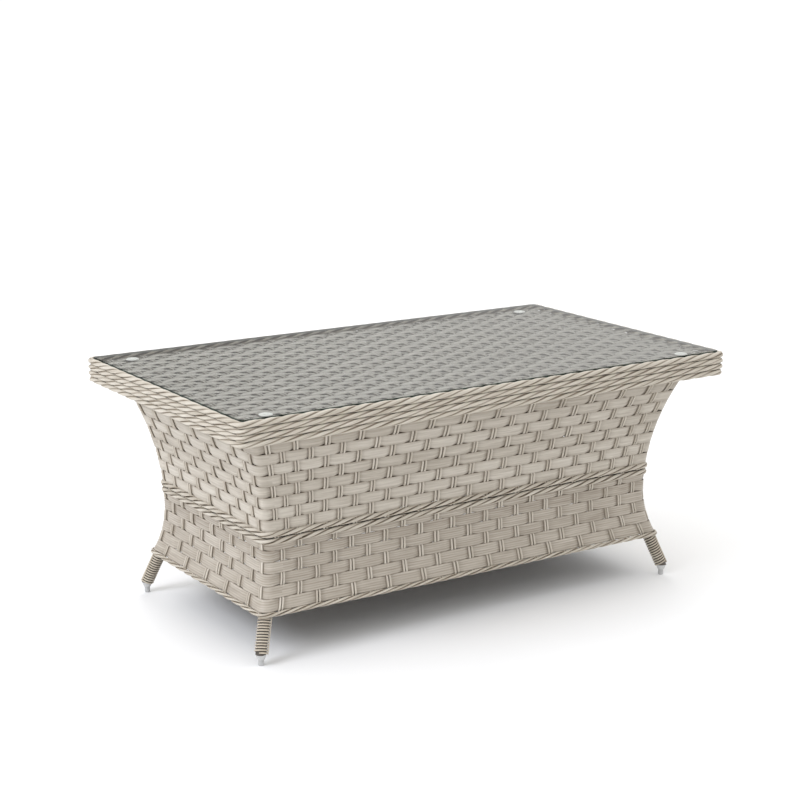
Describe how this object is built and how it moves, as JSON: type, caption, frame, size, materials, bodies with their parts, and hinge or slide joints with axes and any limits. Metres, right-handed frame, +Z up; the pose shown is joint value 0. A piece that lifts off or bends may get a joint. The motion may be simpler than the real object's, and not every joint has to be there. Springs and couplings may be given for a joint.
{
  "type": "wicker coffee table",
  "caption": "Rectangular woven coffee table: glass top on a woven deck with a twined rim, flared body with a roped waist, splayed wrapped legs and screw feet.",
  "frame": {"origin": "on the floor under the centre of the table", "axes": "+X along the length, +Y across the width towards the back, +Z up"},
  "size_m": [1.118, 0.64, 0.485],
  "materials": {
    "glass": "clear tempered float glass with a ground edge",
    "clear_disc": "clear soft plastic",
    "deck": "flat resin strip, brushed, two-tone",
    "weave": "flat resin strip, brushed, two-tone",
    "rope": "round resin strand, twined",
    "wrap": "round resin strand, coiled",
    "frame": "powder coated, satin",
    "plug": "moulded, satin",
    "foot": "moulded, satin"
  },
  "bodies": {
    "table": {"corner_post_back_left": "frame", "corner_post_back_right": "frame", "corner_post_front_left": "frame", "corner_post_front_right": "frame", "cross_bar_left": "frame", "cross_bar_middle": "frame", "cross_bar_right": "frame", "deck_weave": "deck", "foot_plug_back_left": "plug", "foot_plug_back_right": "plug", "foot_plug_front_left": "plug", "foot_plug_front_right": "plug", "glass_discs": "clear_disc", "hem_rail_back": "frame", "hem_rail_front": "frame", "hem_rail_left": "frame", "hem_rail_right": "frame", "hem_rope_back": "rope", "hem_rope_front": "rope", "hem_rope_left": "rope", "hem_rope_right": "rope", "leg_wrap_back_left": "wrap", "leg_wrap_back_right": "wrap", "leg_wrap_front_left": "wrap", "leg_wrap_front_right": "wrap", "lower_skirt_back": "weave", "lower_skirt_front": "weave", "lower_skirt_left": "weave", "lower_skirt_right": "weave", "rim_weave_back": "rope", "rim_weave_front": "rope", "rim_weave_left": "rope", "rim_weave_right": "rope", "top_rail_back": "frame", "top_rail_front": "frame", "top_rail_left": "frame", "top_rail_right": "frame", "upper_rail_back": "frame", "upper_rail_front": "frame", "upper_rail_left": "frame", "upper_rail_right": "frame", "upper_skirt_back": "weave", "upper_skirt_front": "weave", "upper_skirt_left": "weave", "upper_skirt_right": "weave", "waist_rail_back": "frame", "waist_rail_front": "frame", "waist_rail_left": "frame", "waist_rail_right": "frame", "waist_rope_back": "rope", "waist_rope_front": "rope", "waist_rope_left": "rope", "waist_rope_right": "rope"},
    "glass": {"glass_top": "glass"},
    "foot_front_left": {"levelling_foot_front_left": "foot"},
    "foot_front_right": {"levelling_foot_front_right": "foot"},
    "foot_back_right": {"levelling_foot_back_right": "foot"},
    "foot_back_left": {"levelling_foot_back_left": "foot"}
  },
  "joints": [
    {"name": "glass_lift", "type": "slide", "parent": "table", "child": "glass", "axis": [0, 0, 1], "range_m": [0, 0.15]},
    {"name": "foot_turn_front_left", "type": "hinge", "parent": "table", "child": "foot_front_left", "pos_m": [-0.47821, -0.23921, 0], "axis": [0, 0, 1], "continuous": true},
    {"name": "foot_turn_front_right", "type": "hinge", "parent": "table", "child": "foot_front_right", "pos_m": [0.47821, -0.23921, 0], "axis": [0, 0, 1], "continuous": true},
    {"name": "foot_turn_back_right", "type": "hinge", "parent": "table", "child": "foot_back_right", "pos_m": [0.47821, 0.23921, 0], "axis": [0, 0, 1], "continuous": true},
    {"name": "foot_turn_back_left", "type": "hinge", "parent": "table", "child": "foot_back_left", "pos_m": [-0.47821, 0.23921, 0], "axis": [0, 0, 1], "continuous": true}
  ]
}
